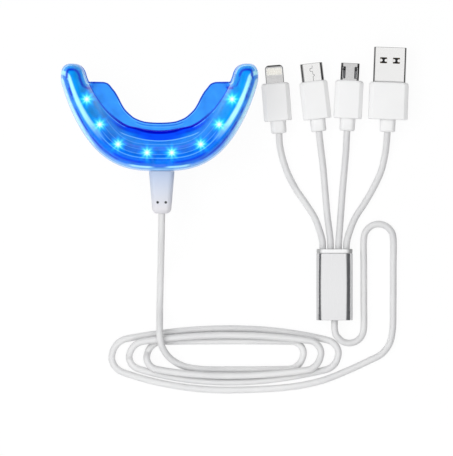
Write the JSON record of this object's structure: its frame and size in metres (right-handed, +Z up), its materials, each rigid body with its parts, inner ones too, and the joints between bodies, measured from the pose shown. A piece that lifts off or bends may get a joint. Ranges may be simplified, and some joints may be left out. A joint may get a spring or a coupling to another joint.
{
  "type": "led teeth whitening device",
  "caption": "Light-up silicone mouth tray on a thin lead that coils, passes a metal splitter sleeve and ends in branches, each with its own charging plug.",
  "frame": {"origin": "on the table under the middle of the tray and its boot", "axes": "+X across the tray to the right, +Y towards the open side of the tray, +Z up from the table"},
  "size_m": [0.1286, 0.1283, 0.025],
  "materials": {
    "silicone": "clear, smooth, lit blue from inside",
    "white_rubber": "satin moulded cord jacket",
    "white_plastic": "smooth moulded",
    "aluminium": "brushed along its length",
    "plated_steel": "nickel plated",
    "gold_contacts": "gold plated",
    "insulator": "moulded insulator",
    "circuit_board": "lacquered board",
    "flex_film": "white coverlay",
    "led_lens": "clear lens, lit"
  },
  "bodies": {
    "root": {"boot": "white_rubber", "branch_eight_pin": "white_rubber", "branch_micro_b": "white_rubber", "branch_type_a": "white_rubber", "branch_type_c": "white_rubber", "cord_coil": "white_rubber", "cord_lead": "white_rubber", "cord_tail": "white_rubber", "eight_pin_contacts": "gold_contacts", "eight_pin_housing": "white_plastic", "eight_pin_relief": "white_rubber", "eight_pin_tab": "plated_steel", "led_flex": "flex_film", "led_lower_1": "led_lens", "led_lower_2": "led_lens", "led_lower_3": "led_lens", "led_lower_4": "led_lens", "led_lower_5": "led_lens", "led_lower_6": "led_lens", "led_lower_7": "led_lens", "led_lower_8": "led_lens", "led_upper_1": "led_lens", "led_upper_2": "led_lens", "led_upper_3": "led_lens", "led_upper_4": "led_lens", "led_upper_5": "led_lens", "led_upper_6": "led_lens", "led_upper_7": "led_lens", "led_upper_8": "led_lens", "micro_b_housing": "white_plastic", "micro_b_relief": "white_rubber", "micro_b_shell": "plated_steel", "micro_b_tongue": "insulator", "splitter_base": "white_plastic", "splitter_collar": "white_plastic", "splitter_core": "white_plastic", "splitter_sleeve": "aluminium", "terminal_board": "circuit_board", "tray": "silicone", "type_a_contact_1": "gold_contacts", "type_a_contact_2": "gold_contacts", "type_a_contact_3": "gold_contacts", "type_a_contact_4": "gold_contacts", "type_a_housing": "white_plastic", "type_a_relief": "white_rubber", "type_a_shell": "plated_steel", "type_a_tongue": "white_plastic", "type_c_core": "insulator", "type_c_housing": "white_plastic", "type_c_relief": "white_rubber", "type_c_shell": "plated_steel"},
    "latch_left": {"micro_b_latch_left": "plated_steel"},
    "latch_right": {"micro_b_latch_right": "plated_steel"}
  },
  "joints": [
    {"name": "latch_left_press", "type": "hinge", "parent": "root", "child": "latch_left", "pos_m": [0.06809, 0.02259, 0.00402], "axis": [-0.9987, 0.0506, 0], "range_deg": [0, 4.5], "stiffness_Nm_per_rad": 0.02},
    {"name": "latch_right_press", "type": "hinge", "parent": "root", "child": "latch_right", "pos_m": [0.07249, 0.02236, 0.00402], "axis": [-0.9987, 0.0506, 0], "range_deg": [0, 4.5], "stiffness_Nm_per_rad": 0.02}
  ]
}
